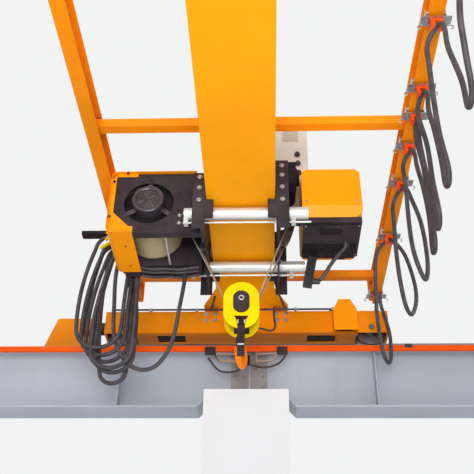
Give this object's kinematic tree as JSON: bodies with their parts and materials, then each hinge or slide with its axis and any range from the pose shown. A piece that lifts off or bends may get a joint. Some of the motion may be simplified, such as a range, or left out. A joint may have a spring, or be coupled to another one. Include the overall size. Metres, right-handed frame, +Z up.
{
  "type": "single-girder overhead bridge crane with rope hoist",
  "caption": "Single-girder overhead crane on a bay of columns and runway beams, with a low-headroom rope hoist, hook block, festoon cable and travel drives.",
  "frame": {"origin": "on the floor at the centre of the bay between the columns", "axes": "+X along the runway, +Y along the girder, +Z up"},
  "size_m": [9.6, 10.7, 5.24],
  "materials": {
    "column_white": "matt white sheet",
    "steel_grey": "satin light blue-grey paint",
    "base_steel": "galvanised",
    "rail_steel": "worn rolled steel",
    "orange": "gloss safety orange paint",
    "rubber_black": "matt rubber",
    "conductor_orange": "satin insulating sheath",
    "black_plastic": "matt moulded plastic",
    "dark_plate": "satin black-brown paint",
    "galvanised": "zinc plated",
    "bright_tube": "bright ground steel",
    "clamp_orange": "satin plastic",
    "cable_black": "dull cable sheath",
    "panel_cream": "satin cream paint",
    "cover_orange": "gloss moulded cover",
    "rope_steel": "greased wire rope",
    "block_yellow": "gloss yellow paint",
    "wheel_steel": "machined tread",
    "hook_orange": "gloss paint on forging"
  },
  "bodies": {
    "runway": {"columns": "column_white", "base_plates": "base_steel", "runway_beam_far": "steel_grey", "runway_beam_near": "steel_grey", "crane_rails": "rail_steel", "end_stops": "orange", "stop_buffers": "rubber_black", "conductor_bar": "conductor_orange", "conductor_hangers": "black_plastic", "line_feeds": "black_plastic"},
    "bridge": {"girder": "orange", "girder_seats": "orange", "end_truck_far": "orange", "end_truck_near": "orange", "travel_motors": "dark_plate", "drive_covers": "cover_orange", "left_rail": "orange", "festoon_rail": "orange", "side_arms": "orange", "festoon_carriers": "galvanised", "cable_clamps": "clamp_orange", "festoon_cable": "cable_black", "festoon_plug": "black_plastic", "control_panel": "panel_cream"},
    "wheel_far_left": {"wheel_far_left": "wheel_steel"},
    "wheel_far_right": {"wheel_far_right": "wheel_steel"},
    "wheel_near_left": {"wheel_near_left": "wheel_steel"},
    "wheel_near_right": {"wheel_near_right": "wheel_steel"},
    "trolley": {"cross_tubes": "bright_tube", "clamp_rods": "galvanised", "left_cheek": "dark_plate", "right_cheek": "dark_plate", "trolley_wheels": "wheel_steel", "travel_motor": "dark_plate", "hoist_frame": "dark_plate", "hoist_cover": "cover_orange", "hoist_motor": "dark_plate", "hoist_gearbox": "dark_plate", "rope_guide": "galvanised", "return_sheave": "wheel_steel", "rope_anchor": "galvanised", "hoist_ropes": "rope_steel", "cabinet_cover": "cover_orange", "cabinet_tray": "dark_plate", "pendant_arm": "dark_plate", "pendant_gland": "black_plastic", "pendant_hank": "cable_black", "pendant_cable": "cable_black", "plug_lead": "cable_black", "hooded_plug": "black_plastic"},
    "drum": {"drum": "rope_steel"},
    "hook_block": {"block_covers": "block_yellow", "block_bosses": "dark_plate", "block_sheaves": "wheel_steel", "block_crosshead": "dark_plate"},
    "hook": {"hook": "hook_orange"},
    "latch": {"latch": "dark_plate"}
  },
  "joints": [
    {"name": "bridge_travel", "type": "slide", "parent": "runway", "child": "bridge", "axis": [1, 0, 0], "range_m": [0, 6.02]},
    {"name": "far_left_wheel_roll", "type": "hinge", "parent": "bridge", "child": "wheel_far_left", "pos_m": [-3.89, 5, 4.2903], "axis": [0, 1, 0], "range_deg": [-1, 3833]},
    {"name": "far_right_wheel_roll", "type": "hinge", "parent": "bridge", "child": "wheel_far_right", "pos_m": [-2.13, 5, 4.2903], "axis": [0, 1, 0], "range_deg": [-1, 3833]},
    {"name": "near_left_wheel_roll", "type": "hinge", "parent": "bridge", "child": "wheel_near_left", "pos_m": [-3.89, -5, 4.2903], "axis": [0, 1, 0], "range_deg": [-1, 3833]},
    {"name": "near_right_wheel_roll", "type": "hinge", "parent": "bridge", "child": "wheel_near_right", "pos_m": [-2.13, -5, 4.2903], "axis": [0, 1, 0], "range_deg": [-1, 3833]},
    {"name": "trolley_travel", "type": "slide", "parent": "bridge", "child": "trolley", "axis": [0, 1, 0], "range_m": [-8, 0.15]},
    {"name": "drum_spin", "type": "hinge", "parent": "trolley", "child": "drum", "pos_m": [-3.57, 3.995, 4.527], "axis": [0, 1, 0], "range_deg": [-194, 3878]},
    {"name": "hook_hoist", "type": "slide", "parent": "trolley", "child": "hook_block", "axis": [0, 0, 1], "range_m": [-3.01, 0.16], "deforming": ["hoist_ropes"]},
    {"name": "hook_swivel", "type": "hinge", "parent": "hook_block", "child": "hook", "pos_m": [-3.01, 3.995, 3.8], "axis": [0, 0, 1], "continuous": true},
    {"name": "latch_swing", "type": "hinge", "parent": "hook", "child": "latch", "pos_m": [-3.01828, 3.96409, 3.727], "axis": [0.9659, -0.2588, 0], "range_deg": [0, 30], "stiffness_Nm_per_rad": 0.2, "springref_deg": -11.46}
  ],
  "couplings": [
    {"joint": "far_left_wheel_roll", "follows": "bridge_travel", "rad_per_m": 11.111},
    {"joint": "far_right_wheel_roll", "follows": "bridge_travel", "rad_per_m": 11.111},
    {"joint": "near_left_wheel_roll", "follows": "bridge_travel", "rad_per_m": 11.111},
    {"joint": "near_right_wheel_roll", "follows": "bridge_travel", "rad_per_m": 11.111},
    {"joint": "hook_hoist", "follows": "drum_spin", "m_per_rad": -0.044325}
  ]
}
